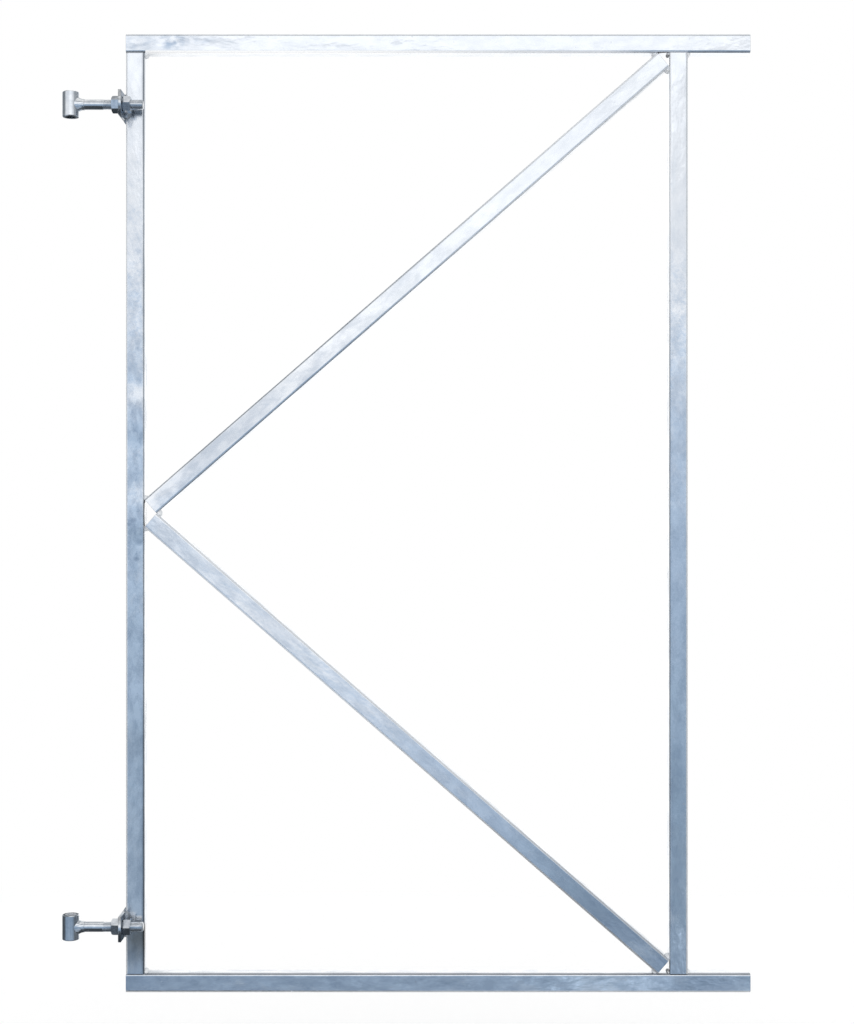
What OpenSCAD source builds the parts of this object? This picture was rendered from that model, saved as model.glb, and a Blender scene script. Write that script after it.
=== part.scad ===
// Galvanised steel frame of a garden gate leaf, hung on two adjustable eye bolts.
// The origin is on the hinge axis, at the lower face of the lower eye.
// +X runs from the hinge side to the latch side, +Y from the front to the back, +Z up.

/* [Frame] */
// Length of the two rails
frame_w = 1010; // [800:1:1300]
// Height over both rails
frame_h = 1550; // [1000:1:1900]
// Rail length that runs on past the latch stile
latch_overhang = 101; // [60:1:160]

/* [Square tube] */
// Side of the tube
tube_w = 30; // [25:1:40]
// Wall of the tube
tube_wall = 2; // [1.5:0.1:3]
// Outer radius of the tube's rolled corners
tube_corner_r = 4; // [3:0.1:6]

/* [Hinge places] */
// Upper bolt below the top of the frame
upper_hinge_drop = 120; // [70:1:250]
// Lower bolt above the bottom of the frame
lower_hinge_rise = 112; // [70:1:250]
// Hinge axis to the outer side of the hinge stile
hinge_reach = 84; // [75:1:110]
// Hinge axis in front of the front of the frame
hinge_standoff = 22; // [19:0.5:30]

/* [Eye bolts] */
// Outside diameter of the eye
eye_d = 27; // [24:0.5:32]
// Bore of the eye, for a 16 mm hinge pin
eye_bore_d = 16.5; // [12:0.1:18]
// Height of the eye
eye_h = 40; // [30:1:60]
// Chamfer round both ends of the eye
eye_chamfer = 1; // [0.3:0.1:2]
// Thickness of the bolt over its thread
bolt_d = 15.8; // [12:0.1:17]
// Bolt that shows past the inner nut
bolt_tail = 19; // [5:0.5:40]
// Chamfer at the free end of the bolt
bolt_chamfer = 1.5; // [0.5:0.1:3]

/* [Nuts] */
// Width across the flats
nut_af = 24; // [21:0.5:27]
// Thickness of a nut
nut_h = 13; // [8:0.5:16]
// Room between nut and bolt, all round
nut_clearance = 0.1; // [0.05:0.01:0.3]
// Depth of the countersink at both mouths of a nut
nut_sink = 1; // [0.2:0.1:2]
// Turn of the nuts nearer the eyes
outer_nut_turn = 8; // [0:1:59]
// Turn of the nuts over the hinge stile
inner_nut_turn = 26; // [0:1:59]

/* [Hinge plates] */
// Height of the strip
plate_h = 40; // [34:1:60]
// Thickness of the strip
plate_t = 5; // [4:0.5:8]
// Bolt axis to the front edge of the strip
plate_nose = 20; // [16:0.5:35]
// Room between plate and bolt, all round
plate_clearance = 0.6; // [0.2:0.1:1]

/* [Welds] */
// Leg of the beads between stiles, rails and hinge plates
weld_leg = 5; // [3:0.5:7]
// Leg of the beads at the brace ends
brace_weld_leg = 7; // [4:0.5:10]
// Length of the eye's bead along the bolt
eye_weld_run = 9; // [5:0.5:14]
// Room at the root of the eye's bead
weld_root_gap = 0.1; // [0.05:0.01:0.3]

/* [Hidden] */

$fn = 48;

// Colours of the zinc on tubes, forged pieces, turned pieces and beads
tube_zinc = [0.74, 0.78, 0.83];
fitting_zinc = [0.62, 0.66, 0.70];
nut_zinc = [0.50, 0.53, 0.57];
bead_zinc = [0.66, 0.70, 0.74];

// Cuts run past the faces they open by this much
overrun = 1;

// Inside corners of the tube are never sharper than this share of its wall
inner_corner_share = 0.5;
// Faces of a nut are chamfered back to this share of its width across flats
nut_face_share = 0.96;
// Slope of a nut's chamfer
nut_chamfer_angle = 30;
// A bead bulges this share of the way from a flat face to a round one
bead_bulge_share = 0.55;
// Flat steps in the face of a bead
bead_steps = 6;
// The front bead of a plate fills this share of the groove at the stile's rolled corner
groove_fill_share = 0.7;
// The beads above and below a plate cover at most this share of its edge
plate_weld_share = 0.8;
// The bead on the eye starts at this share of the eye's radius from the axis
eye_weld_root_share = 0.3;
// The bead on the eye is this share of the eye's radius where it starts
eye_weld_girth_share = 0.97;
// The bead on the eye runs out to this share of the bolt's radius
eye_weld_toe_share = 1.07;

// Heights of the frame
lower_axis_z = eye_h / 2;
frame_bottom = lower_axis_z - lower_hinge_rise;
frame_top = frame_bottom + frame_h;
upper_axis_z = frame_top - upper_hinge_drop;
rail_over = frame_bottom + tube_w;
rail_under = frame_top - tube_w;
mid_z = (frame_bottom + frame_top) / 2;

// Places along the rails and through the frame
hinge_inside = hinge_reach + tube_w;
latch_outside = hinge_reach + frame_w - latch_overhang;
latch_inside = latch_outside - tube_w;
mid_y = hinge_standoff + tube_w / 2;
flat_w = tube_w - 2 * tube_corner_r;
bore_corner_r = max(tube_corner_r - tube_wall, tube_wall * inner_corner_share);

// The braces are cut square: a corner of each end bears on a stile, the other on a rail or on its twin.
bay_w = latch_inside - hinge_inside;
bay_h = rail_under - mid_z;
function brace_slope(guess, rounds) =
    rounds == 0 ? guess :
    brace_slope(atan2(bay_h - tube_w * cos(guess), bay_w - tube_w * sin(guess)), rounds - 1);
brace_angle = brace_slope(45, 24);
brace_rise = tube_w * cos(brace_angle);
brace_run = tube_w * sin(brace_angle);
brace_l = (bay_w - brace_run) / cos(brace_angle);

// Plates, bolts and nuts
plate_outside = hinge_reach - plate_t;
plate_back = hinge_standoff + tube_w - tube_corner_r;
eye_r = eye_d / 2;
bolt_r = bolt_d / 2;
bolt_reach = hinge_reach + nut_h + bolt_tail;
nut_bore_r = bolt_r + nut_clearance;
nut_corner_r = nut_af / 2 / cos(30);
nut_face_r = nut_af / 2 * nut_face_share;
nut_chamfer_h = (nut_corner_r - nut_face_r) * tan(nut_chamfer_angle);
plate_weld_leg = min(weld_leg, plate_t * plate_weld_share);
front_weld_leg = min(tube_corner_r + weld_leg / 2, hinge_standoff - nut_corner_r);

module rounded_square(side, radius) {
    straight = side - 2 * radius;
    square([side, straight], center = true);
    square([straight, side], center = true);
    for (x = [-1, 1], y = [-1, 1])
        translate([x * straight / 2, y * straight / 2]) circle(r = radius);
}

module tube(length) {
    color(tube_zinc)
        linear_extrude(height = length)
            difference() {
                rounded_square(tube_w, tube_corner_r);
                rounded_square(tube_w - 2 * tube_wall, bore_corner_r);
            }
}

// Outline of a bead in the wedge between two faces that leave a corner at these angles
function bead_outline(corner, from_angle, to_angle, leg) =
    let (half = (to_angle - from_angle) / 2)
    concat([corner], [for (i = [0 : bead_steps])
        let (
            turn = -half + 2 * half * i / bead_steps,
            flat = leg * cos(half) / cos(turn),
            reach = flat + (leg - flat) * bead_bulge_share,
            angle = from_angle + half + turn
        )
        corner + reach * [cos(angle), sin(angle)]
    ]);

// A bead through the frame's depth, at a corner given in X and Z
module cross_bead(corner, from_angle, to_angle, leg) {
    color(bead_zinc)
        translate([0, mid_y, 0])
            rotate([90, 0, 0])
                linear_extrude(height = flat_w, center = true)
                    polygon(bead_outline(corner, from_angle, to_angle, leg));
}

// Repeats a piece of the upper half of the frame in its lower half
module lower_half() {
    translate([0, 0, mid_z])
        mirror([0, 0, 1])
            translate([0, 0, -mid_z])
                children();
}

module rail(bottom) {
    translate([hinge_reach, mid_y, bottom + tube_w / 2])
        rotate([0, 90, 0])
            tube(frame_w);
}

module stile(outside) {
    translate([outside + tube_w / 2, mid_y, rail_over])
        tube(rail_under - rail_over);
}

module brace() {
    translate([hinge_inside + brace_run / 2, mid_y, mid_z + brace_rise / 2])
        rotate([0, 90 - brace_angle, 0])
            tube(brace_l);
}

module hinge_corner_beads() {
    cross_bead([hinge_inside, rail_under], 270, 360, weld_leg);
}

module latch_corner_beads() {
    cross_bead([latch_inside, rail_under], 180, 270, weld_leg);
    cross_bead([latch_outside, rail_under], 270, 360, weld_leg);
    cross_bead([latch_inside - brace_run, rail_under], 180, 180 + brace_angle, brace_weld_leg);
    cross_bead([latch_inside, rail_under - brace_rise], 180 + brace_angle, 270, brace_weld_leg);
}

module apex_beads() {
    cross_bead([hinge_inside, mid_z + brace_rise], brace_angle, 90, brace_weld_leg);
    cross_bead([hinge_inside, mid_z - brace_rise], -90, -brace_angle, brace_weld_leg);
    cross_bead([hinge_inside + brace_run, mid_z], -brace_angle, brace_angle, brace_weld_leg);
}

// A strip on the outer side of the hinge stile that stands out in front and carries the bolt
module hinge_plate(axis_z) {
    color(fitting_zinc)
        translate([0, 0, axis_z])
            difference() {
                translate([plate_outside, -plate_nose, -plate_h / 2])
                    cube([plate_t, plate_nose + plate_back, plate_h]);
                translate([plate_outside - overrun, 0, 0])
                    rotate([0, 90, 0])
                        cylinder(r = bolt_r + plate_clearance, h = plate_t + 2 * overrun);
            }
}

// Beads at the front corner of the stile, and above and below the plate on the stile's side
module plate_beads(axis_z) {
    groove = tube_corner_r * groove_fill_share;
    color(bead_zinc)
        translate([0, 0, axis_z - plate_h / 2])
            linear_extrude(height = plate_h)
                difference() {
                    union() {
                        polygon(bead_outline([hinge_reach, hinge_standoff], -90, 0, front_weld_leg));
                        translate([hinge_reach, hinge_standoff]) square([tube_corner_r, groove]);
                    }
                    translate([hinge_reach + tube_w / 2, mid_y]) rounded_square(tube_w, tube_corner_r);
                }
    cross_bead([hinge_reach, axis_z + plate_h / 2], 90, 180, plate_weld_leg);
    cross_bead([hinge_reach, axis_z - plate_h / 2], 180, 270, plate_weld_leg);
}

module hex_nut(turn) {
    color(nut_zinc)
        rotate([0, 90, 0])
            difference() {
                intersection() {
                    rotate([0, 0, turn]) cylinder(r = nut_corner_r, h = nut_h, $fn = 6);
                    rotate_extrude()
                        polygon([
                            [0, 0],
                            [nut_face_r, 0],
                            [nut_corner_r, nut_chamfer_h],
                            [nut_corner_r, nut_h - nut_chamfer_h],
                            [nut_face_r, nut_h],
                            [0, nut_h]
                        ]);
                }
                translate([0, 0, -overrun]) cylinder(r = nut_bore_r, h = nut_h + 2 * overrun);
                cylinder(r1 = nut_bore_r + nut_sink, r2 = nut_bore_r, h = nut_sink);
                translate([0, 0, nut_h - nut_sink])
                    cylinder(r1 = nut_bore_r, r2 = nut_bore_r + nut_sink, h = nut_sink);
            }
}

module outer_nut(axis_z) {
    translate([plate_outside - nut_h, 0, axis_z]) hex_nut(outer_nut_turn);
}

module inner_nut(axis_z) {
    translate([hinge_reach, 0, axis_z]) hex_nut(inner_nut_turn);
}

module eye(axis_z) {
    color(fitting_zinc)
        translate([0, 0, axis_z - eye_h / 2])
            rotate_extrude()
                polygon([
                    [eye_bore_d / 2, 0],
                    [eye_r - eye_chamfer, 0],
                    [eye_r, eye_chamfer],
                    [eye_r, eye_h - eye_chamfer],
                    [eye_r - eye_chamfer, eye_h],
                    [eye_bore_d / 2, eye_h]
                ]);
}

// The room that the eye takes up in what is welded to it
module eye_room() {
    cylinder(r = eye_r + weld_root_gap, h = eye_h + 2 * overrun, center = true);
}

module bolt(axis_z) {
    color(nut_zinc)
        translate([0, 0, axis_z])
            difference() {
                rotate([0, 90, 0])
                    rotate_extrude()
                        polygon([
                            [0, 0],
                            [bolt_r, 0],
                            [bolt_r, bolt_reach - bolt_chamfer],
                            [bolt_r - bolt_chamfer, bolt_reach],
                            [0, bolt_reach]
                        ]);
                eye_room();
            }
}

module eye_bead(axis_z) {
    root = eye_r * eye_weld_root_share;
    color(bead_zinc)
        translate([0, 0, axis_z])
            difference() {
                translate([root, 0, 0])
                    rotate([0, 90, 0])
                        cylinder(
                            r1 = eye_r * eye_weld_girth_share,
                            r2 = bolt_r * eye_weld_toe_share,
                            h = eye_r - root + eye_weld_run
                        );
                rotate([0, 90, 0]) cylinder(r = bolt_r + weld_root_gap, h = bolt_reach);
                eye_room();
            }
}

rail(rail_under);  // top_rail
rail(frame_bottom);  // bottom_rail
stile(hinge_reach);  // hinge_stile
stile(latch_inside);  // latch_stile
brace();  // upper_brace
lower_half() brace();  // lower_brace
hinge_corner_beads();  // top_hinge_weld
lower_half() hinge_corner_beads();  // bottom_hinge_weld
latch_corner_beads();  // top_latch_weld
lower_half() latch_corner_beads();  // bottom_latch_weld
apex_beads();  // brace_apex_weld
hinge_plate(upper_axis_z);  // upper_plate
plate_beads(upper_axis_z);  // upper_plate_weld
outer_nut(upper_axis_z);  // upper_outer_nut
inner_nut(upper_axis_z);  // upper_inner_nut
eye(upper_axis_z);  // upper_eye
bolt(upper_axis_z);  // upper_bolt
eye_bead(upper_axis_z);  // upper_eye_weld
hinge_plate(lower_axis_z);  // lower_plate
plate_beads(lower_axis_z);  // lower_plate_weld
outer_nut(lower_axis_z);  // lower_outer_nut
inner_nut(lower_axis_z);  // lower_inner_nut
eye(lower_axis_z);  // lower_eye
bolt(lower_axis_z);  // lower_bolt
eye_bead(lower_axis_z);  // lower_eye_weld
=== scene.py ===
import math

import bmesh
import bpy
from mathutils import Matrix, Vector


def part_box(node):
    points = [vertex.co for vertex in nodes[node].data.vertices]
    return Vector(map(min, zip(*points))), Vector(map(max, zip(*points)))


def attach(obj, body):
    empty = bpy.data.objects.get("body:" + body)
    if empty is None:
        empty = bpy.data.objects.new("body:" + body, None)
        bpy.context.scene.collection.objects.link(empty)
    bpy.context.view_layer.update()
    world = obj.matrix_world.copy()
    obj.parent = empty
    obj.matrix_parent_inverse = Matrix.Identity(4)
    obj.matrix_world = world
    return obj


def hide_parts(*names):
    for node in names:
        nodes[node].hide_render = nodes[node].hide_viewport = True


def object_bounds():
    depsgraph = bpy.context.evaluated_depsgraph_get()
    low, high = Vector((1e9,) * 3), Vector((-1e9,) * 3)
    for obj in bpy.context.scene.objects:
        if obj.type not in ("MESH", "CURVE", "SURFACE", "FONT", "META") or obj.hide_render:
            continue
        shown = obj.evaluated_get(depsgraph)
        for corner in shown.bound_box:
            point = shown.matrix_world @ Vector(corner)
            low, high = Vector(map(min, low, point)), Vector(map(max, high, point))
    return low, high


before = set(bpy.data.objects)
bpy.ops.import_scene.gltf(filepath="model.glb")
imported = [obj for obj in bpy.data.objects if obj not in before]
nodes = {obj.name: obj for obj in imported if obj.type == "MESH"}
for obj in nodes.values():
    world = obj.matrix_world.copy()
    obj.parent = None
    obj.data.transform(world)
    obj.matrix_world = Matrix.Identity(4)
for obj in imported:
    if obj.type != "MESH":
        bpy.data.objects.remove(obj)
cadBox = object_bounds()
scene = bpy.context.scene
millimetre = 0.001
print("frame loaded with", len(nodes), "nodes")


# Sums and comparisons written on a Wire add Math nodes to its graph
class Wire:
    def __init__(self, graph, socket):
        self.graph = graph
        self.socket = socket

    def __add__(self, other):
        return self.graph.math("ADD", self, other)

    def __radd__(self, other):
        return self.graph.math("ADD", other, self)

    def __sub__(self, other):
        return self.graph.math("SUBTRACT", self, other)

    def __rsub__(self, other):
        return self.graph.math("SUBTRACT", other, self)

    def __mul__(self, other):
        return self.graph.math("MULTIPLY", self, other)

    def __rmul__(self, other):
        return self.graph.math("MULTIPLY", other, self)

    def __truediv__(self, other):
        return self.graph.math("DIVIDE", self, other)

    def __rtruediv__(self, other):
        return self.graph.math("DIVIDE", other, self)

    def __pow__(self, other):
        return self.graph.math("POWER", self, other)

    def __lt__(self, other):
        return self.graph.math("LESS_THAN", self, other)

    def __gt__(self, other):
        return self.graph.math("GREATER_THAN", self, other)

    def __abs__(self):
        return self.graph.math("ABSOLUTE", self)


class Graph:
    def __init__(self, tree):
        self.tree = tree

    # Any node: its settings go in before its sockets
    def add(self, kind, settings=None, sockets=None, out=0):
        node = self.tree.nodes.new(kind)
        for key, value in (settings or {}).items():
            if key == "stops":
                self.setStops(node.color_ramp, value)
            else:
                setattr(node, key, value)
        for key, value in (sockets or {}).items():
            self.feed(self.pick(node.inputs, key), value)
        return Wire(self, self.pick(node.outputs, out)) if len(node.outputs) else None

    # A socket by its number, its identifier or its name
    def pick(self, sockets, key):
        if isinstance(key, int):
            return sockets[key]
        known = [socket for socket in sockets if socket.identifier == key]
        return (known or [socket for socket in sockets if socket.name == key and socket.enabled])[0]

    def feed(self, socket, value):
        if isinstance(value, Wire):
            self.tree.links.new(value.socket, socket)
        elif value is not None:
            socket.default_value = value

    def setStops(self, ramp, stops):
        while len(ramp.elements) < len(stops):
            ramp.elements.new(1.0)
        for element, (place, colour) in zip(ramp.elements, stops):
            element.position = place
            element.color = (*colour, 1.0)

    def math(self, operation, *values):
        return self.add("ShaderNodeMath", {"operation": operation}, dict(enumerate(values)))

    def largest(self, first, *others):
        for other in others:
            first = self.math("MAXIMUM", first, other)
        return first

    def clamp(self, value):
        return self.add("ShaderNodeClamp", None, {"Value": value})

    def smooth(self, value, low, high):
        settings = {"interpolation_type": "SMOOTHSTEP"}
        return self.add("ShaderNodeMapRange", settings, {"Value": value, "From Min": low, "From Max": high})

    # 1 from low to high, falling to 0 over the soft edge on both sides
    def within(self, value, low, high, soft):
        return self.smooth(value, low - soft, low) * (1 - self.smooth(value, high, high + soft))

    def combine(self, x, y, z):
        return self.add("ShaderNodeCombineXYZ", None, {"X": x, "Y": y, "Z": z})

    def split(self, vector):
        node = self.add("ShaderNodeSeparateXYZ", None, {"Vector": vector}).socket.node
        return [Wire(self, socket) for socket in node.outputs]

    def vector(self, operation, *values, out="Vector"):
        return self.add("ShaderNodeVectorMath", {"operation": operation}, dict(enumerate(values)), out)

    def mapped(self, vector, rotation, scale):
        return self.add("ShaderNodeMapping", None, {"Vector": vector, "Rotation": rotation, "Scale": scale})

    def mixColour(self, factor, first, second, blend="MIX"):
        settings = {"data_type": "RGBA", "blend_type": blend}
        sockets = {"Factor_Float": factor, "A_Color": self.rgba(first), "B_Color": self.rgba(second)}
        return self.add("ShaderNodeMix", settings, sockets, "Result_Color")

    def tint(self, factor, colour, tone):
        return self.mixColour(factor, colour, tone, "MULTIPLY")

    def rgba(self, colour):
        return colour if isinstance(colour, Wire) else (*colour, 1.0)

    def noise(self, vector, size, detail=2.0, roughness=0.5):
        sockets = {"Vector": vector, "Scale": 1.0 / size, "Detail": detail, "Roughness": roughness}
        return self.add("ShaderNodeTexNoise", None, sockets, "Fac")


def newMaterial(name):
    material = bpy.data.materials.new(name)
    material.use_nodes = True
    material.node_tree.nodes.clear()
    return material, Graph(material.node_tree)


def placeObject(name, data):
    thing = bpy.data.objects.new(name, data)
    scene.collection.objects.link(thing)
    return thing


# A brace's slope and length follow from its box and its side
def braceRun(low, high, side):
    width, height = high.x - low.x, high.z - low.z
    slope = math.radians(45)
    for _ in range(24):
        slope = math.atan2(height - side * math.cos(slope), width - side * math.sin(slope))
    return slope, (width - side * math.sin(slope)) / math.cos(slope)


# Measures that several pieces share, taken from the frame
railLow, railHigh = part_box("top_rail")
footLow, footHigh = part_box("bottom_rail")
stileLow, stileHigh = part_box("hinge_stile")
latchLow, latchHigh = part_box("latch_stile")
hingeInside, latchInside, latchOutside = stileHigh.x, latchLow.x, latchHigh.x
frontY, middleY = stileLow.y, (stileLow.y + stileHigh.y) / 2
side = railHigh.z - railLow.z
middleZ = (railLow.z + footHigh.z) / 2
stileCentre, latchCentre, footCentre = hingeInside - side / 2, latchInside + side / 2, footLow.z + side / 2
slope, braceLength = braceRun(*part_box("upper_brace"), side)
quarter = math.radians(90)


# Zinc. Sizes of its patterns are in metres, "along" draws them out along the piece, heights are in millimetres
tubeZinc = {
    "tube": True, "along": 2.0, "lean": 0.0, "metal": 1.0,
    "bright": (0.89, 0.90, 0.915), "dull": (0.49, 0.535, 0.595),
    "bloom": (0.80, 0.82, 0.84), "roll": (0.82, 0.84, 0.87),
    "cloud": 0.017, "patch": 0.100, "spangle": 0.0065, "grain": 0.0018, "scratch": 0.5,
    "gloss": 0.13, "haze": 0.13,
    "swell": 1.8, "swellSize": 0.042, "ripple": 0.80, "rippleSize": 0.014, "peel": 0.10, "peelSize": 0.0060,
}
braceZinc = {**tubeZinc, "lean": 0.135, "gloss": 0.17, "swell": 1.0, "ripple": 0.40, "peel": 0.07}
fittingZinc = {
    "tube": False, "along": 1.0, "lean": 0.0, "metal": 1.0,
    "bright": (0.81, 0.825, 0.84), "dull": (0.60, 0.635, 0.675), "bloom": (0.68, 0.71, 0.74),
    "cloud": 0.012, "patch": 0.040, "spangle": 0.0042, "grain": 0.0012, "scratch": 0.5,
    "gloss": 0.14, "haze": 0.14,
    "swell": 0.30, "swellSize": 0.014, "ripple": 0.03, "rippleSize": 0.006, "peel": 0.03, "peelSize": 0.0030,
}
plateZinc = {
    **fittingZinc, "bright": (0.86, 0.875, 0.89), "dull": (0.62, 0.65, 0.685), "gloss": 0.24,
    "inside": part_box("upper_plate")[1].x - 0.4 * millimetre,
}
boltZinc = {
    **fittingZinc, "bright": (0.86, 0.875, 0.895), "dull": (0.54, 0.57, 0.605), "bloom": (0.66, 0.69, 0.72),
    "cloud": 0.009, "patch": 0.030, "spangle": 0.0034, "grain": 0.0010, "scratch": 0.3,
    "gloss": 0.11, "haze": 0.10,
    "swell": 0.08, "swellSize": 0.010, "ripple": 0.012, "rippleSize": 0.005, "peel": 0.008, "peelSize": 0.0020,
}
# the nuts' zinc is a darker copy of the bolts', painted shade for their dark facets
shadedNutZinc = {**boltZinc, "bright": (0.70, 0.72, 0.75), "dull": (0.40, 0.435, 0.475), "gloss": 0.09}
beadZinc = {
    **fittingZinc, "metal": 0.15, "bright": (0.95, 0.96, 0.97), "dull": (0.84, 0.865, 0.89),
    "cloud": 0.006, "patch": 0.020, "spangle": 0.0028, "grain": 0.0008, "scratch": 0.0,
    "gloss": 0.20, "haze": 0.18, "swell": 0.12, "swellSize": 0.006, "peelSize": 0.0016,
}
# the plate beads' zinc is a darker copy of the bead zinc, painted shade beside the hinge plates
shadedPlateBeadZinc = {**beadZinc, "metal": 0.75, "bright": (0.52, 0.55, 0.585), "dull": (0.30, 0.335, 0.375)}


# A mark on the front of a tube: its centre, how far it reaches, and how strong it is there
def frontMark(x, z, reachX, reachZ, strength, reachY=0.03):
    return {"at": (x, frontY, z), "reach": (reachX, reachY, reachZ), "strength": strength}


# hand marks at the top rail's hinge end, and burnt zinc on the hinge stile where the braces were welded
railSmudges = [
    frontMark(railLow.x + 0.018, railLow.z + 0.55 * side, 0.050, 0.70 * side, 0.75, 0.02),
    frontMark(railLow.x + 0.072, railLow.z + 0.55 * side, 0.036, 0.75 * side, 1.0, 0.02),
    frontMark(railLow.x + 0.105, railLow.z + 0.62 * side, 0.080, 0.34 * side, 0.6, 0.02),
]
burns = [
    frontMark(stileLow.x + x, middleZ + z, reach, 0.8 * reach, strength, 0.02)
    for x, z, reach, strength in (
        (0.012, -0.011, 0.009, 0.75), (0.022, -0.046, 0.010, 0.55),
        (0.017, -0.074, 0.007, 0.70), (0.006, -0.018, 0.006, 0.50))]
# painted shade under the lower bolt, painted shade along the hinge stile's inner corner, and bulges in millimetres
underBoltShade = {**frontMark(stileCentre, 0.012, 4 * side, 0.084, 1.0), "below": 0.020, "fade": 6 * millimetre}
cornerShade = [
    frontMark(hingeInside, z, 0.006, reach, strength, 0.02)
    for z, reach, strength in ((1.40, 0.28, 0.65), (1.04, 0.12, 0.35), (-0.05, 0.60, 0.70))]
stileBulges = [
    frontMark(stileCentre, z, 1.5 * side, reach, height)
    for z, reach, height in ((middleZ, 0.055, 2.3), (middleZ + 0.160, 0.055, 1.6), (middleZ - 0.330, 0.075, 2.2))]
# where the zinc is most clouded, and clouds that are brighter or duller than the rest; the first tube cloud, a lighter
# patch on the bottom rail beside the latch stile, is a painted reflection
stileClouds = {"at": (stileCentre, middleY, middleZ + 0.05), "reach": (3 * side, 0.10, 0.62)}
tubeCloudsAndSheen = [
    # a painted reflection: a lighter patch on the bottom rail beside the latch stile
    frontMark(latchInside - 0.085, footCentre, 0.125, 1.2 * side, 0.40),
    frontMark(latchOutside + 0.030, footCentre, 0.080, 1.2 * side, -0.40),
    frontMark(stileLow.x, footCentre, 0.070, 1.2 * side, -0.45),
    *[frontMark(x, z, 1.5 * side, reach, lift) for x, z, reach, lift in (
        (stileCentre, 0.055, 0.055, 0.45), (stileCentre, 0.385, 0.075, 0.45), (stileCentre, 0.702, 0.026, 0.60),
        (stileCentre, 0.785, 0.035, 0.25), (stileCentre, 0.866, 0.055, 0.40),
        (latchCentre, 0.380, 0.090, 0.35), (latchCentre, 0.947, 0.070, 0.30))],
]
braceClouds = [
    frontMark(hingeInside + 0.050, middleZ, 0.110, 0.110, 0.40),
    frontMark(latchInside - 0.060, footHigh.z + 0.050, 0.200, 0.170, -0.75),
]
# thin lines across z: zinc that ran down to the top rail's lower edge, painted shade along the bottom rail's upper
# edge, and the dark joint over the hinge stile; each keeps to its own piece between "above" and "below"
runLine = {
    "z": railLow.z + 1.4 * millimetre, "half": 2.6 * millimetre, "above": railLow.z, "below": railHigh.z,
    "from": hingeInside + 2 * millimetre, "to": latchInside, "fade": 0.12, "whiteTo": (0.37, 0.85),
}
footEdgeShade = {
    "z": footHigh.z + 0.6 * millimetre, "half": 2.6 * millimetre, "above": footLow.z, "below": footHigh.z,
    "from": hingeInside + 1 * millimetre, "to": railHigh.x + side, "fade": side / 2,
}
jointLine = {
    "z": railLow.z, "half": 1.8 * millimetre, "above": footHigh.z, "below": railHigh.z,
    "from": stileLow.x - side, "to": hingeInside + 1 * millimetre, "fade": 1 * millimetre,
}
# rain stands in the lower eye's bore and leaves it chalky
lowerBore = {"radius": 9 * millimetre, "below": 0.10, "chalk": 0.75}
# what the marks do to the zinc: their tints, some of them painted shade, how strongly chalk with painted highlight
# takes hold on corners, and how strongly the dark joint and painted shade darken
markTones = {
    "smudge": (0.50, 0.58, 0.68), "burn": (0.32, 0.38, 0.46), "boltShade": (0.39, 0.36, 0.32),
    "darkening": (0.30, 0.32, 0.35), "plate": (0.26, 0.30, 0.345), "run": (0.98, 0.99, 1.0),
}
chalkAndHighlightShare = {"corner": 0.95, "colour": 0.80, "metal": 0.72, "topRail": 0.25}
jointAndShadeShare = {"all": 0.90, "joint": 0.65, "overhang": 0.35, "brace": 0.60, "plate": 0.85}


# 1 at a mark's centre, falling to 0 where it ends
def nearMark(g, where, mark):
    away = g.vector("DIVIDE", g.vector("SUBTRACT", where, mark["at"]), mark["reach"])
    return 1 - g.smooth(g.vector("LENGTH", away, out="Value"), 0.15, 1.0)


def edgeLine(g, where, line):
    x, y, z = g.split(where)
    slack = 0.1 * millimetre
    across = 1 - g.smooth(abs(z - line["z"]), 0.5 * line["half"], line["half"])
    starts = g.smooth(x, line["from"] - millimetre, line["from"])
    ends = g.smooth(x, line["to"] - line["fade"], line["to"])
    onPiece = (z > line["above"] - slack) * (z < line["below"] + slack)
    return across * starts * (1 - ends) * onPiece * (y < frontY + 0.3 * side)


# How the patterns slant and how far they are drawn out, and the noise values between which each part sets in
patternTurns = {
    "drawn": (0, math.radians(14), 0), "scratch": (0.3, math.radians(24), 0.2), "ripple": (0.5, math.radians(38), 0.2),
}
patternDraws = {"scratch": 0.04, "ripple": 0.45}
patternEdges = {
    "cloud": (0.34, 0.66), "patch": (0.36, 0.64), "bloom": (0.56, 0.70), "speck": (0.74, 0.82), "scratch": (0.62, 0.72),
}
# how the parts add up to the mottle between dull and bright zinc, to its haze and to its loss of metal
patternShares = {
    "mottle": {"cloud": 0.50, "patch": 0.30, "facet": 0.16, "grain": 0.50, "even": -0.23},
    "haze": {"even": 0.55, "cloud": -0.55, "facet": 0.25, "bloom": 0.45},
    "metal": {"bloom": -0.08, "speck": -0.10},
}
colourShares = {"bloom": 0.55, "speck": 0.20, "speckTone": 0.55, "scratch": 0.50, "roll": 0.35}
scratchWidth = 1.1 * millimetre


def weighed(pattern, shares):
    return sum(share * pattern[part] for part, share in shares.items())


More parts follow.
